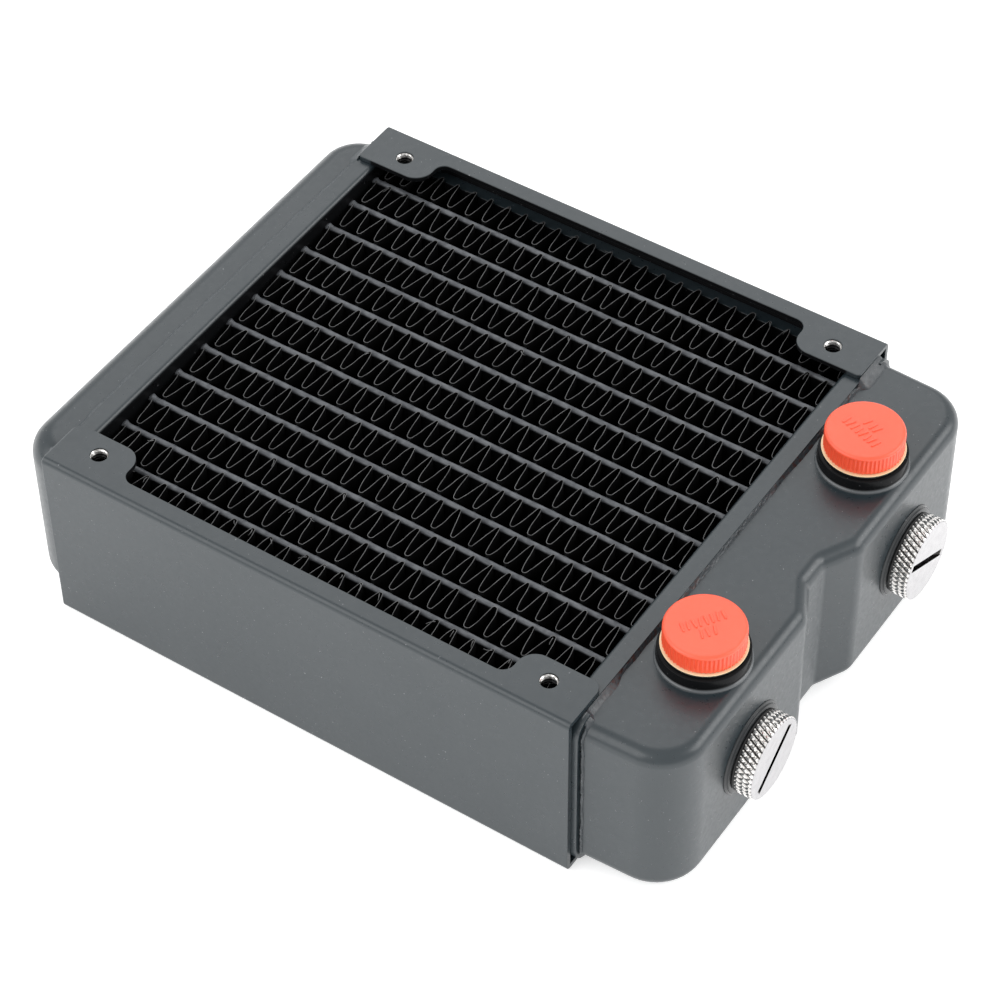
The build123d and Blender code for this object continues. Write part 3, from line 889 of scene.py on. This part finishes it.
def port_outline(inset):
    """Plan of the port tank moved inwards by inset, from the back open end round to the front."""
    low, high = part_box("port_tank")
    side, end = high.y - inset, high.x - inset
    end_side = PORT_END_HALF_WIDTH - inset
    flank = math.atan2(NOTCH_DEPTH, NOTCH_MOUTH_HALF - NOTCH_FLOOR_HALF)
    shift = inset * math.tan(flank / 2)
    mouth = NOTCH_MOUTH_HALF + shift
    floor = NOTCH_FLOOR_HALF + shift
    half = [
        ((low.x, -side), 0, 1), ((low.x + TANK_STRAIGHT, -side), 30 * MM, 3),
        ((end, -end_side), PORT_CORNER_RADIUS - inset, 14),
        ((end, -mouth), NOTCH_MOUTH_RADIUS - inset, 7),
        ((end - NOTCH_DEPTH, -floor), NOTCH_FLOOR_RADIUS + inset, 7),
    ]
    return mirrored_outline(half)


def return_outline(inset):
    """Plan of the return tank moved inwards by inset, drawn on the +X side."""
    low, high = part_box("return_tank")
    side, end = high.y - inset, -low.x - inset
    half = [((-high.x, -side), 0, 1), ((end, -side), RETURN_CORNER_RADIUS - inset, 12)]
    return mirrored_outline(half)


def mirrored_outline(half):
    """Closed-up outline points from a front half, going round to the mirrored back half."""
    back = [((x, -y), radius, count) for (x, y), radius, count in reversed(half)]
    corners = half + back
    points = []
    for index, (corner, radius, count) in enumerate(corners):
        if radius <= 0:
            points.append(Vector(corner))
            continue
        before, after = corners[index - 1][0], corners[index + 1][0]
        points.extend(rounded_corner(before, corner, after, radius, count))
    return points


def tank_rings(outline, edge_radius, z_low, z_high):
    """Open outlines from the middle of the top, over the rounded edges, to the bottom."""
    levels = []
    for angle in ramp_levels(90, 0, 10):
        inset = edge_radius * (1 - math.cos(math.radians(angle)))
        drop = edge_radius * (1 - math.sin(math.radians(angle)))
        levels.append((inset, drop))
    top = [(inset, z_high - drop) for inset, drop in levels]
    bottom = [(inset, z_low + drop) for inset, drop in reversed(levels)]
    mids = [(0.0, z) for z in ramp_levels(z_high - edge_radius, z_low + edge_radius, 6)]
    return [[(point, z) for point in outline(inset)] for inset, z in top + mids[1:-1] + bottom]


def fill_flat(shape, loops):
    """Triangulated flat face between closed loops of edges."""
    edges = [edge for loop in loops for edge in loop]
    bmesh.ops.triangle_fill(shape, use_beauty=True, use_dissolve=False, edges=edges)


def edge_loop(shape, verts, closed=True):
    """Edges along a row of vertices, made where they are missing."""
    pairs = list(zip(verts, verts[1:]))
    if closed:
        pairs.append((verts[-1], verts[0]))
    edges = []
    for one, other in pairs:
        found = next((edge for edge in one.link_edges if edge.other_vert(one) is other), None)
        edges.append(found or shape.edges.new((one, other)))
    return edges


def hole_loop(shape, centre, radius, axis, steps=48):
    """Circle of vertices about an axis along X or Z."""
    verts = []
    for step in range(steps):
        angle = math.tau * step / steps
        one, other = radius * math.cos(angle), radius * math.sin(angle)
        offset = Vector((0, one, other)) if axis == "x" else Vector((one, other, 0))
        verts.append(shape.verts.new(centre + offset))
    return edge_loop(shape, verts)


def tank(name, node, outline, edge_radius, mirror, top_holes, end_holes):
    """Drawn tank: one sheet with rounded edges, open to the core, with holes for the bushes."""
    low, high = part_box(node)
    shape = bmesh.new()
    stack = tank_rings(outline, edge_radius, low.z, high.z)
    rings = []
    for ring in stack:
        rings.append([Vector((point.x, point.y, z)) for point, z in ring])
    rows = skin_rings(shape, rings, close_rows=False)
    for hole_centre in end_holes:
        open_end_face(shape, hole_centre)
    for row, z, holes in ((rows[0], high.z, top_holes), (rows[-1], low.z, [])):
        loops = [edge_loop(shape, row)]
        loops += [hole_loop(shape, Vector((c.x, c.y, z)), BUSH_HOLE_RADIUS, "z") for c in holes]
        fill_flat(shape, loops)
    if mirror:
        for vert in shape.verts:
            vert.co.x = -vert.co.x
    bmesh.ops.recalc_face_normals(shape, faces=shape.faces)
    return finish_tank(name, shape, node)


def open_end_face(shape, centre):
    """Swaps the flat stretch of end wall round a port for a face with a round hole."""
    wall = [face for face in shape.faces
            if abs(face.normal.x) > 0.99 and abs(face.calc_center_median().y - centre.y) < 15 * MM
            and all(abs(vert.co.x - centre.x) < 0.01 * MM for vert in face.verts)
            and (face.calc_center_median().y > 0) == (centre.y > 0)]
    inner = {edge for face in wall for edge in face.edges}
    border = [edge for edge in inner if sum(face in wall for face in edge.link_faces) == 1]
    bmesh.ops.delete(shape, geom=wall, context="FACES_ONLY")
    loose = [edge for edge in inner if edge.is_valid and not edge.link_faces and edge not in border]
    bmesh.ops.delete(shape, geom=loose, context="EDGES")
    fill_flat(shape, [border, hole_loop(shape, centre, BUSH_HOLE_RADIUS, "x")])


def finish_tank(name, shape, node):
    """Gives the tank's sheet its thickness and places it."""
    piece = piece_from(name, shape, BLACK_COAT, ROOT, [node])
    solid = piece.modifiers.new("sheet", "SOLIDIFY")
    solid.thickness = TANK_WALL
    solid.offset = -1.0
    solid.use_even_offset = True
    bake_modifiers(piece)
    shade_again(piece)
    return level_normals(piece)


# ---- Solder seams ----

def seam_path(half_width, z_low, z_high, radius):
    """Rounded rectangle round a tank, as points with their outward direction."""
    corners = ((half_width, z_high, 0, 90), (-half_width, z_high, 90, 180),
               (-half_width, z_low, 180, 270), (half_width, z_low, 270, 360))
    anchors = []
    for y, z, start, stop in corners:
        centre = (y - math.copysign(radius, y), z + (radius if z == z_low else -radius))
        for angle in ramp_levels(start, stop, 12):
            way = Vector((math.cos(math.radians(angle)), math.sin(math.radians(angle))))
            anchors.append((Vector(centre) + radius * way, way))
    path = []
    for (one, way), (other, way_after) in zip(anchors, anchors[1:] + anchors[:1]):
        count = max(1, round((other - one).length / (0.22 * MM)))
        for index in range(count):
            share = index / count
            path.append((one.lerp(other, share), way.lerp(way_after, share).normalized()))
    return path


def lip_end(y, way_up):
    """Where the header's lip stops, at one place round the tank."""
    over_flat = smooth_step((LIP_STEP - abs(y)) / MM) if abs(way_up) > 0.9 else 0.0
    return LIP_SIDE_END + (LIP_TOP_END - LIP_SIDE_END) * over_flat


def seam_line(t, wet, rise, at, roughness):
    """Height of the solder's surface over the tank, from the lip (t = 0) outwards (t = 1)."""
    climb = 0.82 * rise * wet * (1 - t) ** 1.4
    bead = (0.12 + 0.34 * (1 - wet)) * MM * math.sin(math.pi * t)
    coarse = noise.noise(Vector((at.x * 420.0, at.y * 420.0, at.z + t)))
    fine = noise.noise(Vector((at.x * 1500.0, at.y * 1500.0, at.z + 2.6 * t)))
    lumps = roughness * (0.20 * coarse + 0.24 * fine) * MM * math.sin(math.pi * min(1.0, t + 0.15))
    return max(-0.04 * MM, climb + bead + lumps)


def corner_fill(place, way):
    """Solder in the step beside a bracket's end: its share there, start, height and width."""
    upward = smooth_step((abs(way.y) - 0.80) / 0.15)
    if place.x > 0:
        share = smooth_step((place.x - 46.4 * MM) / (1.6 * MM)) * upward
        return share, BRACKET_END + 0.02 * MM, 1.85 * MM, 2.3 * MM
    share = smooth_step((-place.x - 42.0 * MM) / (4.0 * MM)) * upward
    over_lip = smooth_step((-place.x - LIP_STEP + MM) / MM)
    start = BRACKET_END + (0.15 + 0.20 * over_lip) * MM
    return share, start, (1.10 + 0.25 * over_lip) * MM, (1.2 + 0.8 * over_lip) * MM


def seam(name, node, tank_node, header_node, mirror):
    """Run of solder in the corner between the header's lip and the tank."""
    low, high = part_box(tank_node)
    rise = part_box(header_node)[1].z - high.z
    roughness = 0.35 if mirror else 1.0
    facing = -1 if mirror else 1
    edge_radius = RETURN_EDGE_RADIUS if mirror else PORT_EDGE_RADIUS
    rings = []
    for place, way in seam_path(high.y, low.z, high.z, edge_radius):
        at = Vector((place.x, place.y, 7.0 if mirror else 0.0))
        wide = (0.62 + 0.30 * noise.noise(at * 230.0)) * MM
        wet = smooth_step((49.0 * MM - abs(place.x)) / (5.0 * MM)) if abs(way.y) > 0.9 else 0.15
        if mirror:
            wet = min(wet, 0.72)
        inner = lip_end(place.x, way.y) + 0.20 * MM * (1 - wet)
        fill, fill_start, fill_height, fill_width = corner_fill(place, way)
        if mirror and abs(way.y) > 0.9:
            wide += 0.85 * MM * smooth_step((LIP_STEP - abs(place.x)) / MM)
        inner += (fill_start - inner) * fill
        wide += (fill_width * (1 + 0.15 * noise.noise(at * 300.0)) - wide) * fill
        ring = []
        for t in ramp_levels(0.0, 1.0, 11):
            height = seam_line(t, wet, rise, at, roughness * (1 - 0.85 * fill))
            height += fill * (fill_height * (1 - t) ** 1.25 - height)
            spot = place + way * height
            ring.append((facing * (inner + wide * t), spot.x, spot.y))
        for t in (1.0, 0.0):
            spot = place - way * 0.10 * MM
            ring.append((facing * (inner + wide * t), spot.x, spot.y))
        rings.append(ring)
    shape = bmesh.new()
    skin_rings(shape, rings, close_stack=True)
    metal = SMOOTH_SOLDER if mirror else SOLDER_COAT
    return piece_from(name, shape, metal, ROOT, [node])


# ---- Ports and closures ----

def port_place(kind, side):
    """Frame of a port: its origin at the collar's face and its Z axis out of the port."""
    low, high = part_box(f"{kind}_port_bush_{side}")
    mid = (low + high) / 2
    if kind == "top":
        return Matrix.Translation((mid.x, mid.y, high.z))
    return Matrix.Translation((high.x, mid.y, mid.z)) @ Matrix.Rotation(math.pi / 2, 4, "Y")


def port_bush(kind, side):
    """Bush with a turned collar, a foot that follows the tank, and a real thread inside."""
    node = f"{kind}_port_bush_{side}"
    place = port_place(kind, side)
    tank_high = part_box("port_tank")[1]
    if kind == "top":
        depth = place.translation.z - tank_high.z
        edge_start = tank_high.x - PORT_EDGE_RADIUS - place.translation.x
    else:
        depth = place.translation.x - tank_high.x
        edge_start = 1.0

    def surface(radius, angle):
        """Height of the tank's outside below the collar's face."""
        past = radius * math.cos(angle) - edge_start
        if past <= 0:
            return -depth
        return -depth - PORT_EDGE_RADIUS + math.sqrt(PORT_EDGE_RADIUS ** 2 - past ** 2)

    foot_radius = extent_along(node, place, kind)[2]
    collar_radius = foot_radius - BUSH_FOOT_MARGIN
    foot_top = -depth + BUSH_FOOT_HEIGHT[kind]
    foot_round = 0.8 * BUSH_FOOT_HEIGHT[kind]

    def profile(angle):
        outside = [(foot_radius, surface(foot_radius, angle) - 0.05 * MM)]
        outside += arc((foot_radius - foot_round, foot_top - foot_round), foot_round, 0, 62, 6)
        outside += [
            (collar_radius + 0.10 * MM, foot_top + 0.08 * MM),
            (collar_radius + 0.03 * MM, foot_top + 0.20 * MM),
            (collar_radius, foot_top + 0.36 * MM),
            (collar_radius, -0.16 * MM),
            (collar_radius - 0.04 * MM, -0.06 * MM),
            (collar_radius - 0.12 * MM, 0.0),
            (PORT_THREAD_RADIUS + 0.30 * MM, 0.0),
            (PORT_THREAD_RADIUS + 0.02 * MM, -0.28 * MM),
        ]
        bottom = -depth - BUSH_SHANK_DEPTH
        inside = []
        for level in ramp_levels(-0.32 * MM, bottom, 34):
            fade = smooth_step((-0.32 * MM - level) / (0.5 * MM))
            share = thread_share(level, angle, PORT_THREAD_PITCH) * fade
            inside.append((PORT_THREAD_RADIUS - PORT_THREAD_DEPTH * share, level))
        under = [
            (BUSH_SHANK_RADIUS, bottom),
            (BUSH_SHANK_RADIUS, -depth - 0.05 * MM),
            (8.8 * MM, surface(8.8 * MM, angle) - 0.05 * MM),
        ]
        return outside + inside + under

    shape = turned(profile, place, ROUND_STEPS)
    return piece_from(f"{kind}_bush_{side}", shape, BUSH_HIGHLIGHT_AND_SHADE_COAT, ROOT, [node])


def extent_along(node, place, kind):
    """Lowest and highest place of a node along its port's axis, and its outer radius."""
    low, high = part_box(node)
    if kind == "top":
        return low.z - place.translation.z, high.z - place.translation.z, (high.x - low.x) / 2
    return low.x - place.translation.x, high.x - place.translation.x, (high.y - low.y) / 2


def washer(side):
    """Thin cream washer, undercut so that only its top and a narrow rim show."""
    place = port_place("top", side)
    low, high, radius = extent_along(f"cap_washer_{side}", place, "top")
    radius -= WASHER_WEAR

    def profile(angle):
        middle_height = (low + high) / 2
        points = [(SEAL_INNER_RADIUS, low), (radius - 0.20 * MM, low)]
        rim_round = high - middle_height
        points += arc((radius - rim_round, middle_height), rim_round, -60, 90, 6)
        points += [(SEAL_INNER_RADIUS, high)]
        return points

    shape = turned(profile, place, ROUND_STEPS)
    return piece_from(f"washer_{side}", shape, CREAM, f"cap_seals_{side}",
                      [f"cap_washer_{side}"])


def ring_piece(name, node, kind, side, material, body, round_share):
    """Flat ring with rounded outer edges: a seal."""
    place = port_place(kind, side)
    low, high, radius = extent_along(node, place, kind)
    round_size = (high - low) * round_share

    def profile(angle):
        points = [(SEAL_INNER_RADIUS, low), (radius - round_size, low)]
        points += arc((radius - round_size, low + round_size), round_size, -90, 0, 6)[1:]
        points += arc((radius - round_size, high - round_size), round_size, 0, 90, 6)
        points += [(SEAL_INNER_RADIUS + 0.05 * MM, high), (SEAL_INNER_RADIUS, high - 0.05 * MM)]
        return points

    shape = turned(profile, place, ROUND_STEPS)
    return piece_from(name, shape, material, body, [node])


def shank_profile(angle, neck_top):
    """Threaded shank of a closure, from the axis at its tip up to the head."""
    points = [(0.0, -SHANK_LENGTH), (5.2 * MM, -SHANK_LENGTH)]
    for level in ramp_levels(-SHANK_LENGTH + 0.25 * MM, -0.55 * MM, 40):
        share = thread_share(level, angle, PORT_THREAD_PITCH)
        outer = PORT_THREAD_RADIUS - PORT_THREAD_PLAY - PORT_THREAD_DEPTH * share
        tip = smooth_step((level + SHANK_LENGTH) / (0.8 * MM))
        points.append((outer - 0.35 * MM * (1 - tip), level))
    neck = PORT_THREAD_RADIUS - PORT_THREAD_PLAY - PORT_THREAD_DEPTH
    points += [(neck, -0.35 * MM), (neck, neck_top)]
    return points


def screw_cap(side):
    """Moulded cap: ribbed grip, rounded plain rim, flat top and threaded shank."""
    node = f"screw_cap_{side}"
    place = port_place("top", side)
    _, high, radius = extent_along(node, place, "top")
    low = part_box(f"cap_washer_{side}")[1].z - place.translation.z + 0.03 * MM
    top = high - CAP_MARK_HEIGHT
    rib_low, rib_high = low + 0.20 * MM, top - 0.92 * MM

    def profile(angle):
        groove = CAP_RIB_DEPTH * smooth_step(1.25 * wave(CAP_RIBS * angle / math.tau) - 0.1)
        points = shank_profile(angle, low)
        points += [(radius - 0.45 * MM, low), (radius - 0.30 * MM, low + 0.04 * MM)]
        points += [(radius - groove - 0.05 * MM, rib_low)]
        points += [(radius - groove, level) for level in ramp_levels(rib_low + 0.15 * MM, rib_high, 4)]
        points += [(radius - 0.4 * groove, rib_high + 0.10 * MM), (radius, rib_high + 0.20 * MM)]
        points += arc((radius - CAP_RIM_ROUND, top - CAP_RIM_ROUND), CAP_RIM_ROUND, 0, 90, 9)[1:]
        points += [(radius - 1.0 * MM, top), (radius - 2.5 * MM, top), (0.0, top)]
        return points

    shape = turned(profile, place, CAP_RIBS * 8)
    piece_from(f"cap_body_{side}", shape, ORANGE, f"cap_{side}", [node])
    return place, top


def pill(shape, centre, turn, length, width, base, height):
    """Raised bar with round ends and a softened top."""
    rings = []
    for grow, level in ((0.0, base), (0.0, base + 0.6 * height), (-0.35, base + height)):
        ring = []
        half = width / 2 * (1 + grow)
        for x, y in arc((0, 0), half, -90, 90, 6):
            ring.append(Vector((x + (length - width) / 2, y, level)))
        for x, y in arc((0, 0), half, 90, 270, 6):
            ring.append(Vector((x - (length - width) / 2, y, level)))
        rings.append([centre @ turn @ point for point in ring])
    rows = skin_rings(shape, rings)
    shape.faces.new(rows[0])
    shape.faces.new(rows[-1])


def cap_marks(side, place, top):
    """Two rows of plain raised bars on the cap's top."""
    shape = bmesh.new()
    chooser = random.Random(7)
    spin = Matrix.Rotation(math.radians(MARK_ANGLE_DEG[side]), 4, "Z")
    for y, row in MARK_ROWS:
        for x in row:
            turn = Matrix.Translation((x * MM, y * MM, 0))
            turn = turn @ Matrix.Rotation(math.radians(90 + chooser.uniform(-14, 14)), 4, "Z")
            pill(shape, place @ spin, turn, MARK_LENGTH, MARK_WIDTH, top - 0.03 * MM,
                 CAP_MARK_HEIGHT + 0.02 * MM)
    return piece_from(f"cap_marks_{side}", shape, ORANGE, f"cap_{side}", [])


def knurl_share(height, angle):
    """How high a diamond knurl stands at a place on its cylinder, from 0 to 1."""
    round_count = KNURL_TEETH * angle / math.tau
    one = 1 - wave(round_count - height / KNURL_PITCH)
    other = 1 - wave(round_count + height / KNURL_PITCH)
    return min(1.0, 2.0 * one, 0.30 + 2.0 * other)


def stop_plug(side):
    """Knurled plug with a saw-cut slot and a threaded shank."""
    node = f"stop_plug_{side}"
    place = port_place("end", side)
    _, top, radius = extent_along(node, place, "end")
    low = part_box(f"plug_seal_{side}")[1].x - place.translation.x + 0.03 * MM
    chamfer = 0.30 * MM

    def profile(angle):
        points = shank_profile(angle, low)
        points += [(radius - 1.2 * MM, low)]
        for level in ramp_levels(low, top - 0.04 * MM, 34):
            height = radius - KNURL_DEPTH * (1 - knurl_share(level, angle))
            near_face = max(0.0, chamfer - (top - level))
            near_seal = max(0.0, 0.25 * MM - (level - low))
            points.append((min(height, radius - 0.75 * near_face, radius - near_seal), level))
        points += [(radius - 0.45 * MM, top), (radius - 1.2 * MM, top), (0.0, top)]
        return points

    shape = turned(profile, place, KNURL_TEETH * 10)
    name = f"knurled_plug_{side}"
    axis_point = place @ Vector((0, 0, top))
    metal = nickel_material(f"nickel_{side}", axis_point, radius)
    piece = piece_from(name, shape, metal, f"plug_{side}", [node], 35.0)
    cut_slot(piece, place, top, SLOT_ANGLE_DEG[side])
    return piece


def cut_slot(piece, place, top, angle_deg):
    """Cuts the coin slot with a thin round-bottomed blade."""
    blade = bmesh.new()
    half = SLOT_LENGTH / 2
    sag = SLOT_DEPTH
    blade_radius = (half ** 2 + sag ** 2) / (2 * sag)
    bottom = []
    for share in ramp_levels(-1, 1, 24):
        y = half * share
        z = top - SLOT_DEPTH + blade_radius - math.sqrt(blade_radius ** 2 - y ** 2)
        bottom.append((y, z))
    outline = bottom + [(half, top + 1 * MM), (-half, top + 1 * MM)]
    spin = place @ Matrix.Rotation(math.radians(angle_deg), 4, "Z")
    rings = [[spin @ Vector((x, y, z)) for y, z in outline] for x in (-SLOT_WIDTH / 2, SLOT_WIDTH / 2)]
    rows = skin_rings(blade, rings)
    blade.faces.new(rows[0])
    blade.faces.new(rows[1])
    bmesh.ops.recalc_face_normals(blade, faces=blade.faces)
    mesh = bpy.data.meshes.new("blade")
    blade.to_mesh(mesh)
    blade.free()
    cutter = bpy.data.objects.new("blade", mesh)
    bpy.context.scene.collection.objects.link(cutter)
    cut = piece.modifiers.new("slot", "BOOLEAN")
    cut.operation = "DIFFERENCE"
    cut.solver = "EXACT"
    cut.object = cutter
    bake_modifiers(piece)
    shade_again(piece)
    bpy.data.objects.remove(cutter)


def ports():
    """Every port's bush, and the closure and seals in it."""
    for side in SIDES:
        port_bush("top", side)
        port_bush("end", side)
        ring_piece(f"cap_ring_{side}", f"cap_seal_{side}", "top", side, RUBBER,
                   f"cap_seals_{side}", 0.42)
        washer(side)
        ring_piece(f"plug_ring_{side}", f"plug_seal_{side}", "end", side, RUBBER,
                   f"plug_seals_{side}", 0.45)
        place, top = screw_cap(side)
        cap_marks(side, place, top)
        stop_plug(side)


# ---- Stage, camera and light ----

def stage():
    """The studio floor, just below the object."""
    floor_mesh = bmesh.new()
    bmesh.ops.create_grid(floor_mesh, x_segments=4, y_segments=4, size=FLOOR_HALF)
    mesh = bpy.data.meshes.new("floor")
    floor_mesh.to_mesh(mesh)
    floor_mesh.free()
    mesh.materials.append(floor_material())
    floor = bpy.data.objects.new("floor", mesh)
    floor.location.z = cad_box[0][2] - 0.02 * MM
    bpy.context.scene.collection.objects.link(floor)


def camera():
    """The camera that looks down on the corner with the ports."""
    lens = bpy.data.cameras.new("camera")
    lens.lens = CAMERA_LENS
    lens.sensor_width = 36.0
    lens.clip_start = 0.01
    lens.clip_end = 20.0
    holder = bpy.data.objects.new("camera", lens)
    holder.location = CAMERA_PLACE
    holder.rotation_euler = [math.radians(turn) for turn in CAMERA_TURN_DEG]
    bpy.context.scene.collection.objects.link(holder)
    bpy.context.scene.camera = holder


def softbox(name, place, size, power):
    """A soft rectangular light that faces the object."""
    light = bpy.data.lights.new(name, "AREA")
    light.shape = "RECTANGLE"
    light.size, light.size_y = size
    light.energy = power
    holder = bpy.data.objects.new(name, light)
    holder.location = place
    holder.rotation_euler = (-Vector(place)).to_track_quat("-Z", "Y").to_euler()
    bpy.context.scene.collection.objects.link(holder)


def lights():
    """A white room with three softboxes."""
    world = bpy.data.worlds.new("studio")
    world.use_nodes = True
    world.node_tree.nodes["Background"].inputs["Color"].default_value = (1.0, 1.0, 1.0, 1.0)
    world.node_tree.nodes["Background"].inputs["Strength"].default_value = 0.88
    bpy.context.scene.world = world
    softbox("back_left", (-0.62, 0.90, 1.20), (1.2, 1.2), 4.6)
    softbox("right", (1.15, 0.75, 0.80), (1.2, 0.8), 9.0)
    softbox("front_left", (-0.62, -1.00, 0.95), (1.5, 1.1), 8.5)
    bpy.context.scene.view_settings.view_transform = "Standard"


def main():
    """Builds every piece, then the studio."""
    for side in SIDES:
        side_bracket(side)
        fan_threads(side)
        pressed_plate(f"side_plate_{side}", f"core_side_plate_{side}", SIDE_PLATE_ROUND)
    pressed_plate("port_plate", "port_header", LIP_ROUND)
    pressed_plate("return_plate", "return_header", LIP_ROUND)
    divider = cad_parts["tank_divider"]
    divider.data.materials.clear()
    divider.data.materials.append(BRASS)
    core()
    top_centres = [port_place("top", side).translation for side in SIDES]
    end_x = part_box("port_tank")[1].x
    end_centres = []
    for side in SIDES:
        spot = port_place("end", side).translation
        end_centres.append(Vector((end_x, spot.y, spot.z)))
    tank("port_tank_sheet", "port_tank", port_outline, PORT_EDGE_RADIUS, False, top_centres,
         end_centres)
    tank("return_tank_sheet", "return_tank", return_outline, RETURN_EDGE_RADIUS, True, [], [])
    seam("port_seam", "port_tank_seam", "port_tank", "port_header", False)
    seam("return_seam", "return_tank_seam", "return_tank", "return_header", True)
    ports()
    stage()
    camera()
    lights()


main()
